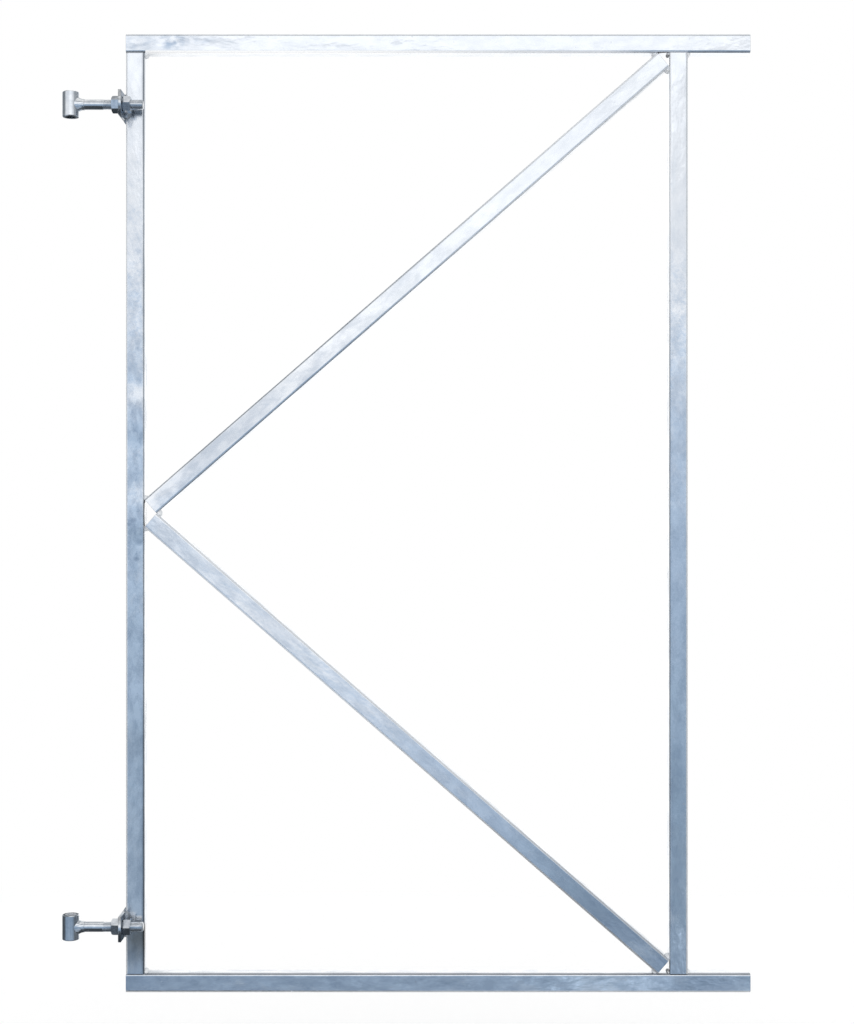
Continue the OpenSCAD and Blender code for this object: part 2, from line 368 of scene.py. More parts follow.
# The zinc's own pattern: clouds, broad patches, crystals and fine grain, pale bloom where water stood,
# small dark dross specks and fine slanting scratches
def zincPattern(g, place, look):
    drawn = g.mapped(place, patternTurns["drawn"], (1, 1, 1 / look["along"]))
    fine = g.mapped(place, patternTurns["scratch"], (1, 1, patternDraws["scratch"]))
    crystal = g.add(
        "ShaderNodeTexVoronoi", {"feature": "F1"},
        {"Vector": drawn, "Scale": 1 / look["spangle"], "Randomness": 1.0}, "Color")
    patch = g.smooth(g.noise(drawn, look["patch"], 2.0, 0.5), *patternEdges["patch"])
    scratch = g.smooth(g.noise(fine, scratchWidth, 2.0, 0.6), *patternEdges["scratch"])
    return {
        "even": 1.0, "drawn": drawn, "patch": patch, "facet": g.split(crystal)[0],
        "cloud": g.smooth(g.noise(drawn, look["cloud"], 4.0, 0.62), *patternEdges["cloud"]),
        "grain": g.noise(place, look["grain"], 2.0, 0.6),
        "bloom": g.smooth(g.noise(drawn, look["patch"] * 0.7, 5.0, 0.7), *patternEdges["bloom"]),
        "speck": g.smooth(g.noise(place, look["grain"] * 3.4, 1.0, 0.5), *patternEdges["speck"]),
        "scratch": scratch * (1 - patch) * look["scratch"],
    }


# Swells, slanting ripples and a peel like an orange's, with crystals and specks just proud of them
def zincRelief(g, place, pattern, look):
    slant = g.mapped(place, patternTurns["ripple"], (1, 1, patternDraws["ripple"]))
    patch, proud = pattern["patch"], 0.012 * millimetre
    swell = g.noise(pattern["drawn"], look["swellSize"], 1.0, 0.4) * (look["swell"] * millimetre)
    ripple = g.noise(slant, look["rippleSize"], 2.0, 0.5) * (0.4 + 0.9 * patch) * (look["ripple"] * millimetre)
    peel = g.noise(place, look["peelSize"], 2.0, 0.5) * (0.5 + 0.8 * patch) * (look["peel"] * millimetre)
    return swell + ripple + peel + pattern["facet"] * proud + pattern["speck"] * proud


# A tube's zinc is brighter and more even towards the top, and most clouded along the hinge stile
tubeStir = {"usual": 0.75, "stile": 0.75, "calmed": 0.78, "calmLevels": (0.95, 1.25), "middle": 0.60}


def tubeMottle(g, where, mottle, cloud, look):
    _, _, level = g.split(where)
    calm = tubeStir["calmed"] * g.smooth(level, *tubeStir["calmLevels"])
    stir = (1 - calm) * (tubeStir["usual"] + tubeStir["stile"] * nearMark(g, where, stileClouds))
    mottle = tubeStir["middle"] + stir * (mottle - 0.5)
    for mark in braceClouds if look["lean"] else tubeCloudsAndSheen:
        mottle = mottle + nearMark(g, where, mark) * mark["strength"] * (0.4 + 0.6 * cloud)
    return mottle


# paler, less metallic rolled corners: partly chalky zinc, partly a painted highlight
def addChalkAndHighlight(g, zinc, amount, look):
    zinc["colour"] = g.mixColour(amount * chalkAndHighlightShare["colour"], zinc["colour"], look["roll"])
    zinc["metallic"] = zinc["metallic"] - chalkAndHighlightShare["metal"] * amount


# darkens towards one tone: the real dark joint over the hinge stile, and painted shade everywhere else it is used
def addJointAndShade(g, zinc, amount):
    zinc["colour"] = g.tint(amount * jointAndShadeShare["all"], zinc["colour"], markTones["darkening"])


def weatherRailsAndStiles(g, where, zinc, grain, frontRoll, look):
    x, _, level = g.split(where)
    colour = zinc["colour"]
    blotch = g.smooth(g.noise(g.mapped(where, (0, 0, 0), (0.6, 1, 1)), 0.011, 3.0, 0.5), 0.30, 0.70)
    for mark in railSmudges:
        colour = g.tint(nearMark(g, where, mark) * blotch * mark["strength"], colour, markTones["smudge"])
    for mark in burns:
        burnt = nearMark(g, where, mark) * mark["strength"] * (0.5 + 0.5 * grain)
        colour = g.tint(burnt, colour, markTones["burn"])
    # painted shade on the hinge stile under the lower bolt, broken up by noise
    underBolt = g.smooth(level, underBoltShade["below"], underBoltShade["below"] - underBoltShade["fade"])
    shadePatchiness = 0.75 + 0.25 * g.smooth(g.noise(where, 0.020, 3.0, 0.6), 0.25, 0.55)
    zinc["colour"] = g.tint(nearMark(g, where, underBoltShade) * underBolt * shadePatchiness, colour, markTones["boltShade"])

    # chalk with painted highlight on the rolled corners: the stiles' outer sides, the latch stile's inner side high up,
    # the bottom rail's foot, and a little on the top rail's lower corner
    betweenRails = (level < railLow.z) * (level > footHigh.z)
    railCorner = (level > railLow.z - millimetre) * (level < railLow.z + side / 3)
    latchInner = (x > latchInside - millimetre) * g.smooth(level, 0.85, 1.25)
    outer = g.largest(x < stileLow.x + side / 3, x > latchOutside - side / 3)
    onStiles = g.largest(latchInner, outer) * (x < latchOutside + millimetre) * betweenRails
    onTopRail = chalkAndHighlightShare["topRail"] * railCorner * (x < latchOutside)
    chalk = g.largest(onStiles, level < footLow.z + side / 3, onTopRail)
    run = edgeLine(g, where, runLine)
    addChalkAndHighlight(g, zinc, g.largest(run, chalkAndHighlightShare["corner"] * frontRoll * chalk), look)
    # the run is whitest towards the hinge side
    white = run * (1 - g.smooth(x, *runLine["whiteTo"]))
    zinc["colour"] = g.mixColour(white, zinc["colour"], markTones["run"])
    zinc["metallic"] = zinc["metallic"] - (1 - chalkAndHighlightShare["metal"]) * white
    # darker lines and patches: painted shade along the bottom rail's upper edge, on the top rail's lower corner beyond
    # the latch stile and along the hinge stile's inner corner, and the real dark joint over the hinge stile
    addJointAndShade(g, zinc, g.largest(
        edgeLine(g, where, footEdgeShade), jointAndShadeShare["joint"] * edgeLine(g, where, jointLine),
        # painted shade on the top rail's lower front corner beyond the latch stile
        jointAndShadeShare["overhang"] * frontRoll * railCorner * (x > latchOutside),
        *[nearMark(g, where, mark) * mark["strength"] * betweenRails for mark in cornerShade]))


# The lower brace and most of the upper one are paler at their rolled corners, partly chalk and partly painted
# highlight, and the lower one has painted shade on its front corners towards the latch.
# A brace leans back most near the hinge stile, the lower one more, and both are true at the latch end.
# Places along a brace are shares of its length, from its middle towards the latch
braceWear = {"chalk": (-0.15, 0.35), "darkening": (0.05, 0.35), "true": (0.08, 0.46), "lowerLean": 0.45, "lowerFade": 0.25}


def weatherBrace(g, where, zinc, across, alongBrace, frontRoll, look):
    _, _, level = g.split(where)
    lower = level < middleZ
    chalk = g.largest(lower, g.smooth(alongBrace, *braceWear["chalk"]))
    addChalkAndHighlight(g, zinc, chalkAndHighlightShare["corner"] * frontRoll * chalk, look)
    # painted shade on the lower brace's front corners towards the latch
    addJointAndShade(g, zinc, jointAndShadeShare["brace"] * frontRoll * lower * g.smooth(alongBrace, *braceWear["darkening"]))
    more = braceWear["lowerLean"] * g.smooth(level, middleZ, middleZ - braceWear["lowerFade"])
    tilt = look["lean"] * (1 + more) * (1 - g.smooth(alongBrace, *braceWear["true"]))
    zinc["height"] = zinc["height"] + across * tilt


def weatherTube(g, where, zinc, grain, look):
    section = g.add("ShaderNodeAttribute", {"attribute_name": "tubeSection"}, out="Vector")
    across, roll, towardLatch = g.split(section)
    frontRoll = roll * (g.split(where)[1] < middleY)
    # rolled corners are paler and less glossy, partly from the zinc on the edges and partly as a painted highlight
    zinc["colour"] = g.mixColour(roll * colourShares["roll"], zinc["colour"], look["roll"])
    zinc["roughness"] = zinc["roughness"] + 0.08 * roll
    if look["lean"]:
        weatherBrace(g, where, zinc, across, towardLatch / braceLength, frontRoll, look)
    else:
        weatherRailsAndStiles(g, where, zinc, grain, frontRoll, look)
    # the welds have drawn the hinge stile a little out of true
    for bulge in stileBulges:
        zinc["height"] = zinc["height"] + nearMark(g, where, bulge) * (bulge["strength"] * millimetre)


# Chalk in the lower eye's bore, and painted shade on the plates' inner faces beside the nuts
def weatherFitting(g, where, zinc, look):
    x, y, z = g.split(where)
    inBore = (x * x + y * y < lowerBore["radius"] ** 2) * (z < lowerBore["below"])
    zinc["metallic"] = zinc["metallic"] - lowerBore["chalk"] * inBore
    if "inside" in look:
        # painted shade on the plate's inner face beside the nuts
        zinc["colour"] = g.tint(jointAndShadeShare["plate"] * (x > look["inside"]), zinc["colour"], markTones["plate"])


def zincMaterial(name, look):
    material, g = newMaterial(name)
    where = g.add("ShaderNodeTexCoord", out="Object")
    place = where
    if look["tube"]:
        place = g.add("ShaderNodeAttribute", {"attribute_name": "tubeSpace"}, out="Vector")
    pattern = zincPattern(g, place, look)
    mottle = weighed(pattern, patternShares["mottle"])
    if look["tube"]:
        mottle = tubeMottle(g, where, mottle, pattern["cloud"], look)
    colour = g.mixColour(g.clamp(mottle), look["dull"], look["bright"])
    darker = [colourShares["speckTone"] * part for part in look["dull"]]
    for part, tone in (("bloom", look["bloom"]), ("speck", darker), ("scratch", look["bright"])):
        colour = g.mixColour(pattern[part] * colourShares[part], colour, tone)
    haze = weighed(pattern, patternShares["haze"])
    zinc = {
        "colour": colour,
        "roughness": look["gloss"] + look["haze"] * haze + 0.10 * pattern["scratch"],
        "metallic": look["metal"] + weighed(pattern, patternShares["metal"]),
        "height": zincRelief(g, place, pattern, look),
    }
    if look["tube"]:
        weatherTube(g, where, zinc, pattern["grain"], look)
    else:
        weatherFitting(g, where, zinc, look)
    relief = {"Strength": 1.0, "Distance": 1.0, "Height": zinc["height"]}
    shader = g.add("ShaderNodeBsdfPrincipled", None, {
        "Base Color": zinc["colour"], "Roughness": g.clamp(zinc["roughness"]), "Metallic": g.clamp(zinc["metallic"]),
        "Normal": g.add("ShaderNodeBump", None, relief, "Normal")}, "BSDF")
    g.add("ShaderNodeOutputMaterial", None, {"Surface": shader})
    return material


tubeMaterial = zincMaterial("tube_zinc_mottled", tubeZinc)
braceMaterial = zincMaterial("brace_zinc_mottled", braceZinc)
fittingMaterial = zincMaterial("fitting_zinc_satin", fittingZinc)
plateMaterial = zincMaterial("plate_zinc_satin", plateZinc)
boltMaterial = zincMaterial("bolt_zinc_bright", boltZinc)
shadedNutMaterial = zincMaterial("nut_zinc_shaded", shadedNutZinc)
beadMaterial = zincMaterial("bead_zinc", beadZinc)
shadedPlateBeadMaterial = zincMaterial("plate_bead_zinc_shaded", shadedPlateBeadZinc)
print("zinc materials made")


# Geometry Nodes: a tree with named inputs, and a piece grown from it as a plain mesh
socketKinds = {float: "NodeSocketFloat", int: "NodeSocketInt", tuple: "NodeSocketVector"}


def newTree(name, defaults):
    tree = bpy.data.node_groups.new(name, "GeometryNodeTree")
    for key, value in defaults.items():
        socket = tree.interface.new_socket(name=key, in_out="INPUT", socket_type=socketKinds[type(value)])
        socket.default_value = value
    tree.interface.new_socket(name="Material", in_out="INPUT", socket_type="NodeSocketMaterial")
    tree.interface.new_socket(name="Geometry", in_out="OUTPUT", socket_type="NodeSocketGeometry")
    g = Graph(tree)
    source = tree.nodes.new("NodeGroupInput")
    return g, {socket.name: Wire(g, socket) for socket in source.outputs if socket.name}


def endTree(g, geometry, inputs):
    smooth = g.add("GeometryNodeSetShadeSmooth", None, {"Geometry": geometry})
    whole = g.add("GeometryNodeRealizeInstances", None, {"Geometry": smooth})
    dressed = g.add("GeometryNodeSetMaterial", None, {"Geometry": whole, "Material": inputs["Material"]})
    end = g.tree.nodes.new("NodeGroupOutput")
    g.tree.links.new(dressed.socket, end.inputs["Geometry"])
    return g.tree


def growMesh(tree, values, material, place):
    seed = placeObject(tree.name, bpy.data.meshes.new(tree.name))
    modifier = seed.modifiers.new("grow", "NODES")
    modifier.node_group = tree
    given = {**values, "Material": material}
    for item in tree.interface.items_tree:
        if item.in_out == "INPUT" and item.name in given:
            modifier[item.identifier] = given[item.name]
    grown = seed.evaluated_get(bpy.context.evaluated_depsgraph_get())
    mesh = bpy.data.meshes.new_from_object(grown)
    bpy.data.objects.remove(seed)
    mesh.transform(place)
    return mesh


def joinMeshes(name, meshes, material):
    whole = bmesh.new()
    for mesh in meshes:
        whole.from_mesh(mesh)
    joined = bpy.data.meshes.new(name)
    whole.to_mesh(joined)
    whole.free()
    joined.materials.append(material)
    return joined


# Faces closed up and turned outward
def outward(mesh):
    shell = bmesh.new()
    shell.from_mesh(mesh)
    bmesh.ops.remove_doubles(shell, verts=shell.verts, dist=1e-6)
    bmesh.ops.recalc_face_normals(shell, faces=shell.faces)
    shell.to_mesh(mesh)
    shell.free()


# Flat faces keep flat shading beside their rounded edges
def flattenShading(piece):
    modifier = piece.modifiers.new("flats", "WEIGHTED_NORMAL")
    modifier.mode = "FACE_AREA"
    modifier.keep_sharp = False
    bpy.context.view_layer.update()
    flat = piece.evaluated_get(bpy.context.evaluated_depsgraph_get())
    mesh = bpy.data.meshes.new_from_object(flat)
    piece.modifiers.clear()
    piece.data = mesh


def addPiece(name, mesh, body, slot, *stoodFor):
    mesh.name = name
    piece = placeObject(name, mesh)
    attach(piece, body)
    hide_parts(*stoodFor)
    return piece


def turned(x, y, z):
    return Matrix.Rotation(z, 4, "Z") @ Matrix.Rotation(y, 4, "Y") @ Matrix.Rotation(x, 4, "X")


# Square tubes: the section of the wall, rounded at both rims, swept round the tube's middle line
tubeShape = {
    "Wall": 2 * millimetre, "CornerRadius": 4 * millimetre, "RimRadius": 0.45 * millimetre,
    "CornerSteps": 10, "RimSteps": 3,
}


def squareTubeTree():
    g, inputs = newTree("squareTube", {"Side": 0.03, "Length": 1.0, "Shift": (0.0, 0.0, 0.0), **tubeShape})
    side, wall, corner = inputs["Side"], inputs["Wall"], inputs["CornerRadius"]
    line = g.add("GeometryNodeCurvePrimitiveQuadrilateral", None, {"Width": side - wall, "Height": side - wall})
    path = g.add("GeometryNodeFilletCurve", {"mode": "POLY"}, {
        "Curve": line, "Count": inputs["CornerSteps"], "Radius": corner - wall * 0.5})
    strip = g.add("GeometryNodeCurvePrimitiveQuadrilateral", None, {"Width": wall, "Height": inputs["Length"]})
    rounded = g.add("GeometryNodeFilletCurve", {"mode": "POLY"}, {
        "Curve": strip, "Count": inputs["RimSteps"], "Radius": inputs["RimRadius"]})
    tube = g.add("GeometryNodeCurveToMesh", None, {"Curve": path, "Profile Curve": rounded})
    # where the zinc's pattern lies, and how far a spot is into a rolled corner
    spot = g.add("GeometryNodeInputPosition")
    x, y, z = g.split(spot)
    inCorner = g.math("MINIMUM", abs(x), abs(y)) - (side * 0.5 - corner)
    section = g.combine(x, g.clamp(inCorner / corner * math.sqrt(2)), z)
    for name, value in (("tubeSpace", g.vector("ADD", spot, inputs["Shift"])), ("tubeSection", section)):
        tube = g.add("GeometryNodeStoreNamedAttribute", {"data_type": "FLOAT_VECTOR", "domain": "POINT"}, {
            "Geometry": tube, "Name": name, "Value": value})
    return endTree(g, tube, inputs)


tubeTree = squareTubeTree()
tubeNames = ["top_rail", "bottom_rail", "hinge_stile", "latch_stile", "upper_brace", "lower_brace"]
for count, name in enumerate(tubeNames):
    low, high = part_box(name)
    turn, length, material = turned(0, 0, 0), high.z - low.z, tubeMaterial
    if name.endswith("rail"):
        turn, length = turned(0, quarter, 0), high.x - low.x
    elif name.endswith("brace"):
        lean = quarter - slope if name.startswith("upper") else quarter + slope
        turn, length, material = turned(0, lean, 0), braceLength, braceMaterial
    shift = (0.37 * count, 0.61 * count, 1.9 * count)  # another stretch of zinc on each tube
    values = {"Side": side, "Length": length, "Shift": shift, **tubeShape}
    mesh = growMesh(tubeTree, values, material, Matrix.Translation((low + high) / 2) @ turn)
    outward(mesh)
    flattenShading(addPiece(name + "_tube", mesh, "gate_frame", "tube_zinc", name))
print("tubes made:", len(tubeNames), "brace slope", round(math.degrees(slope), 2))


# Weld beads: a wedge with a crown, rippled along its run and rounded off at both ends
beadShape = {
    "Steps": 96, "Sides": 30, "RipplePitch": 1.7 * millimetre, "RippleHeight": 0.34 * millimetre,
    "Crown": 0.93, "Bow": 0.30, "Unevenness": 0.7 * millimetre, "Seat": math.radians(5),
}
# how much of the way round is the bead's face, how thick its root is, how square its ends are, and its lumps
beadSection = {"face": 0.82, "root": 0.12, "endPower": 7.0, "endLeft": 0.05, "lumpsAlong": 320, "lumpsAcross": 1.5}
beadSizes = {
    "corner": 5 * millimetre, "tight": 3.2 * millimetre, "brace": 7 * millimetre,
    "plate": 4 * millimetre, "front": 6.5 * millimetre,
}


def weldBeadTree():
    g, inputs = newTree("weldBead", {
        "Length": 0.022, "Leg": 0.005, "FromAngle": 0.0, "ToAngle": 1.57, "Seed": 0.0, **beadShape})
    rod = g.add("GeometryNodeMeshCylinder", {"fill_type": "NGON"}, {
        "Vertices": inputs["Sides"], "Side Segments": inputs["Steps"], "Radius": 1.0, "Depth": 1.0})
    x, y, z = g.split(g.add("GeometryNodeInputPosition"))
    around = g.math("FRACT", g.math("ARCTAN2", y, x) / (2 * math.pi) + 1.0)
    faceShare, leg = beadSection["face"], inputs["Leg"]
    isFace = around < faceShare
    across = g.clamp(around / faceShare)
    back = g.clamp((around - faceShare) / (1 - faceShare))
    sweep = isFace * across + (1 - isFace) * (1 - back)
    start = inputs["FromAngle"] - inputs["Seat"]
    angle = start + sweep * (inputs["ToAngle"] + inputs["Seat"] - start)

    # rounded ends, scalloped ripples bent into crescents, and a hand's unevenness
    ends = (1 - abs(z * 2) ** beadSection["endPower"]) ** 0.5
    along = z * inputs["Length"]
    crescent = (1 - (across * 2 - 1) ** 2) * leg * inputs["Bow"]
    phase = g.math("FRACT", (along + crescent) / inputs["RipplePitch"] + inputs["Seed"])
    scallop = 1 - (phase * 2 - 1) ** 2
    spot = g.combine(along * beadSection["lumpsAlong"], across * beadSection["lumpsAcross"], inputs["Seed"])
    uneven = g.add("ShaderNodeTexNoise", None, {"Vector": spot, "Scale": 1.0, "Detail": 2.0}, "Fac") - 0.5
    face = leg * inputs["Crown"] + scallop * inputs["RippleHeight"] + uneven * inputs["Unevenness"]
    reach = isFace * face + (1 - isFace) * leg * beadSection["root"]
    reach = reach * g.math("MAXIMUM", ends, beadSection["endLeft"])
    spotOut = g.combine(reach * g.math("COSINE", angle), reach * g.math("SINE", angle), along)
    bead = g.add("GeometryNodeSetPosition", None, {"Geometry": rod, "Position": spotOut})
    return endTree(g, bead, inputs)


beadTree = weldBeadTree()
rise, run = side * math.cos(slope), side * math.sin(slope)
steep = math.degrees(slope)
crossLength = side - 2 * tubeShape["CornerRadius"]


# Beads through the depth of the frame: corner in X and Z, the two faces' angles, and the kind of bead
def crossBeads(places, seed):
    meshes = []
    for count, (x, z, fromAngle, toAngle, kind) in enumerate(places):
        values = {
            "Length": crossLength, "Leg": beadSizes[kind], "Seed": seed + 0.37 * count,
            "FromAngle": math.radians(fromAngle), "ToAngle": math.radians(toAngle), **beadShape}
        place = Matrix.Translation((x, middleY, z)) @ turned(quarter, 0, 0)
        meshes.append(growMesh(beadTree, values, beadMaterial, place))
    return meshes


def lowerHalf(places):
    return [(x, 2 * middleZ - z, -toAngle, -fromAngle, kind) for x, z, fromAngle, toAngle, kind in places]


hingeCorner = [(hingeInside, railLow.z, -90, 0, "corner")]
latchCorner = [
    (latchInside, railLow.z, 180, 270, "tight"),
    (latchOutside, railLow.z, -90, 0, "corner"),
    (latchInside - run, railLow.z, 180, 180 + steep, "brace"),
    (latchInside, railLow.z - rise, 180 + steep, 270, "brace"),
]
apex = [
    (hingeInside, middleZ + rise, steep, 90, "brace"),
    (hingeInside, middleZ - rise, -90, -steep, "brace"),
    (hingeInside + run, middleZ, -steep, steep, "brace"),
]
weldPlaces = {
    "top_hinge_weld": hingeCorner, "bottom_hinge_weld": lowerHalf(hingeCorner),
    "top_latch_weld": latchCorner, "bottom_latch_weld": lowerHalf(latchCorner),
    "brace_apex_weld": apex,
}
for count, (name, places) in enumerate(weldPlaces.items()):
    mesh = joinMeshes(name, crossBeads(places, 1.3 * count), beadMaterial)
    outward(mesh)
    addPiece(name + "_bead", mesh, "gate_frame", "bead_zinc", name)
print("frame beads made:", len(weldPlaces))


# Hinge plates: cut from strip, with a drilled hole and eased edges
plateShape = {"hole": 8.5 * millimetre, "ease": 0.7 * millimetre, "easeSteps": 3, "holeSteps": 64}


def addLoop(outline, points):
    loop = outline.splines.new("POLY")
    loop.points.add(len(points) - 1)
    for point, (x, y) in zip(loop.points, points):
        point.co = (x, y, 0, 1)
    loop.use_cyclic_u = True


def plateMesh(low, high, axisZ):
    ease, hole, steps = plateShape["ease"], plateShape["hole"], plateShape["holeSteps"]
    outline = bpy.data.curves.new("plateOutline", "CURVE")
    outline.dimensions = "2D"
    outline.fill_mode = "BOTH"
    addLoop(outline, [
        (y, z - axisZ) for y, z in ((low.y, low.z), (high.y, low.z), (high.y, high.z), (low.y, high.z))])
    angles = [2 * math.pi * count / steps for count in range(steps)]
    addLoop(outline, [(hole * math.cos(angle), hole * math.sin(angle)) for angle in angles])
    outline.extrude = (high.x - low.x) / 2 - ease
    outline.bevel_depth = ease
    outline.bevel_resolution = plateShape["easeSteps"]
    outline.offset = -ease
    flat = placeObject("plateOutline", outline)
    mesh = bpy.data.meshes.new_from_object(flat.evaluated_get(bpy.context.evaluated_depsgraph_get()))
    bpy.data.objects.remove(flat)
    # the outline lies in Y and Z, its thickness along X
    upright = Matrix(((0, 0, 1, (low.x + high.x) / 2), (1, 0, 0, 0), (0, 1, 0, axisZ), (0, 0, 0, 1)))
    mesh.transform(upright)
    outward(mesh)
    mesh.shade_smooth()
    mesh.materials.clear()
    mesh.materials.append(plateMaterial)
    return mesh


# Bolts: a plain shank at the eye, then a thread to the chamfered end
boltShape = {
    "Pitch": 2.0 * millimetre, "Depth": 0.9 * millimetre, "Runout": 4 * millimetre,
    "Shank": 38 * millimetre, "Chamfer": 1.5 * millimetre, "Sides": 56,
}
boltFit = {"sunk": 3 * millimetre, "ringsPerPitch": 11}


def threadedBoltTree():
    g, inputs = newTree("threadedBolt", {"Length": 0.1, "Radius": 0.0079, "Rings": 400, **boltShape})
    rod = g.add("GeometryNodeMeshCylinder", {"fill_type": "NGON"}, {
        "Vertices": inputs["Sides"], "Side Segments": inputs["Rings"], "Radius": 1.0, "Depth": 1.0})
    x, y, z = g.split(g.add("GeometryNodeInputPosition"))
    angle = g.math("ARCTAN2", y, x)
    along = (z + 0.5) * inputs["Length"]
    phase = g.math("FRACT", along / inputs["Pitch"] - angle / (2 * math.pi) + 1.0)
    ridge = g.smooth(abs(phase * 2 - 1), 0.08, 0.60)  # flat crests, zinc in the roots
    fade = g.smooth(along - inputs["Shank"], 0.0, inputs["Runout"])
    threaded = inputs["Radius"] - inputs["Depth"] * (1 - ridge) * fade
    tip = inputs["Radius"] - inputs["Chamfer"] + (inputs["Length"] - along)
    radius = g.math("MINIMUM", threaded, tip)
    where = g.combine(radius * g.math("COSINE", angle), radius * g.math("SINE", angle), along)
    bolt = g.add("GeometryNodeSetPosition", None, {"Geometry": rod, "Position": where})
    return endTree(g, bolt, inputs)


# Necks: the bead round the bolt where it meets the eye, hollow like a collar
neckShape = {
    "Steps": 60, "Sides": 80, "Ripples": 24.0, "RippleHeight": 0.28 * millimetre,
    "Girth": 11.4 * millimetre, "Toe": 8.4 * millimetre, "Seat": 0.25 * millimetre, "Hollow": 2.4,
}


def neckBeadTree():
    g, inputs = newTree("neckBead", {
        "EyeRadius": 0.0135, "BoltRadius": 0.0079, "ToeReach": 0.0225, **neckShape})
    collar = g.add("GeometryNodeMeshCylinder", {"fill_type": "NONE"}, {
        "Vertices": inputs["Sides"], "Side Segments": inputs["Steps"], "Radius": 1.0, "Depth": 1.0})
    x, y, z = g.split(g.add("GeometryNodeInputPosition"))
    angle = g.math("ARCTAN2", y, x)
    # once round the collar's section: out along the eye, down the face to the toe, back along the bolt
    girth, toe = inputs["Girth"], inputs["Toe"]
    outEnd, downEnd = 0.25, 0.80
    gone = z + 0.5
    out = g.clamp(gone / outEnd)
    down = g.clamp((gone - outEnd) / (downEnd - outEnd))
    back = g.clamp((gone - downEnd) / (1 - downEnd))
    inner = inputs["BoltRadius"] - inputs["Seat"]
    outer = inner + out * (girth - inner)
    fall = 1 - (1 - down) ** inputs["Hollow"]
    radius = outer + fall * (toe - girth) + g.smooth(back, 0.0, 0.3) * (inner - toe)
    sideways = radius * g.math("COSINE", angle)
    eyeFace = (inputs["EyeRadius"] ** 2.0 - sideways * sideways) ** 0.5 - inputs["Seat"]
    reach = eyeFace + (down - back) * (inputs["ToeReach"] - eyeFace)
    phase = g.math("FRACT", angle / (2 * math.pi) * inputs["Ripples"] + down * 0.8 + 4.0)
    scallop = 1 - (phase * 2 - 1) ** 2
    swell = scallop * inputs["RippleHeight"] * g.smooth(down * (1 - down), 0.0, 0.12) * (1 - back)
    full = radius + swell
    where = g.combine(full * g.math("COSINE", angle), full * g.math("SINE", angle), reach)
    neck = g.add("GeometryNodeSetPosition", None, {"Geometry": collar, "Position": where})
    closed = g.add("GeometryNodeMergeByDistance", None, {"Geometry": neck, "Distance": 1e-6})
    return endTree(g, closed, inputs)


# The plate's beads: down the stile's front corner, sunk into it, and across above and below
frontBead = {"sunk": 2.5 * millimetre, "fromAngle": math.radians(-90), "toAngle": math.radians(-16)}


def plateBeads(low, high, axisZ, count):
    values = {
        "Length": high.z - low.z, "Leg": beadSizes["front"] + frontBead["sunk"], "Seed": 0.5 + count,
        "FromAngle": frontBead["fromAngle"], "ToAngle": frontBead["toAngle"], **beadShape}
    place = Matrix.Translation((high.x, frontY + frontBead["sunk"], axisZ))
    across = [(high.x, high.z, 90, 180, "plate"), (high.x, low.z, 180, 270, "plate")]
    return [growMesh(beadTree, values, beadMaterial, place), *crossBeads(across, 7.1 + count)]


boltTree = threadedBoltTree()
neckTree = neckBeadTree()
# local X goes to the frame's Y, local Y to Z and local Z along the bolt
alongBolt = Matrix(((0, 0, 1, 0), (1, 0, 0, 0), (0, 1, 0, 0), (0, 0, 0, 1)))
for count, which in enumerate(["upper", "lower"]):
    body = which + "_eye_bolt"
    boltLow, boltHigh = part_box(which + "_bolt")
    eyeLow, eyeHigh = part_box(which + "_eye")
    plateLow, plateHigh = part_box(which + "_plate")
    axisZ = (boltLow.z + boltHigh.z) / 2
    boltRadius = (boltHigh.z - boltLow.z) / 2
    eyeRadius = (eyeHigh.y - eyeLow.y) / 2
    axisPlace = Matrix.Translation((0, 0, axisZ)) @ alongBolt

    mesh = plateMesh(plateLow, plateHigh, axisZ)
    flattenShading(addPiece(which + "_hinge_plate", mesh, "gate_frame", "fitting_zinc", which + "_plate"))

    start = eyeRadius - boltFit["sunk"]
    length = boltHigh.x - start
    values = {
        **boltShape, "Length": length, "Radius": boltRadius, "Shank": boltShape["Shank"] - start + eyeRadius,
        "Rings": round(length / boltShape["Pitch"] * boltFit["ringsPerPitch"])}
    mesh = growMesh(boltTree, values, boltMaterial, axisPlace @ Matrix.Translation((0, 0, start)))
    outward(mesh)
    addPiece(which + "_threaded_bolt", mesh, body, "nut_zinc", which + "_bolt")

    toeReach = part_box(which + "_eye_weld")[1].x
    values = {"EyeRadius": eyeRadius, "BoltRadius": boltRadius, "ToeReach": toeReach, **neckShape}
    mesh = growMesh(neckTree, values, fittingMaterial, axisPlace)
    outward(mesh)
    addPiece(which + "_eye_neck", mesh, body, "bead_zinc", which + "_eye_weld")

    beads = plateBeads(plateLow, plateHigh, axisZ, count)
    mesh = joinMeshes(which + "_plate_weld", beads, shadedPlateBeadMaterial)
    outward(mesh)
    addPiece(which + "_plate_bead", mesh, "gate_frame", "bead_zinc", which + "_plate_weld")

    nodes[which + "_eye"].material_slots[0].material = fittingMaterial
    for nut in ("_outer_nut", "_inner_nut"):
        nodes[which + nut].material_slots[0].material = shadedNutMaterial
print("hinges made: plates, threaded bolts, necks and beads")


# Stage: a white floor under the leaf, which hangs clear of it
floorShape = {"clearance": 0.16, "back": 1.5, "front": 0.30, "spread": 0.75, "colour": (1.0, 1.0, 1.0), "edge": 0.86}


def floorMaterial(centre, half):
    material, g = newMaterial("pale_floor")
    place = g.add("ShaderNodeTexCoord", out="Object")
    x, y, _ = g.split(g.vector("DIVIDE", g.vector("SUBTRACT", place, centre), half))
    edge = 1 - g.smooth(g.largest(abs(x), abs(y)), floorShape["edge"], 1.0)
    pale = g.add("ShaderNodeBsdfDiffuse", None, {"Color": g.rgba(floorShape["colour"])})
    clear = g.add("ShaderNodeBsdfTransparent")
    both = g.add("ShaderNodeMixShader", None, {0: edge, 1: clear, 2: pale})
    g.add("ShaderNodeOutputMaterial", None, {"Surface": both})
    return material


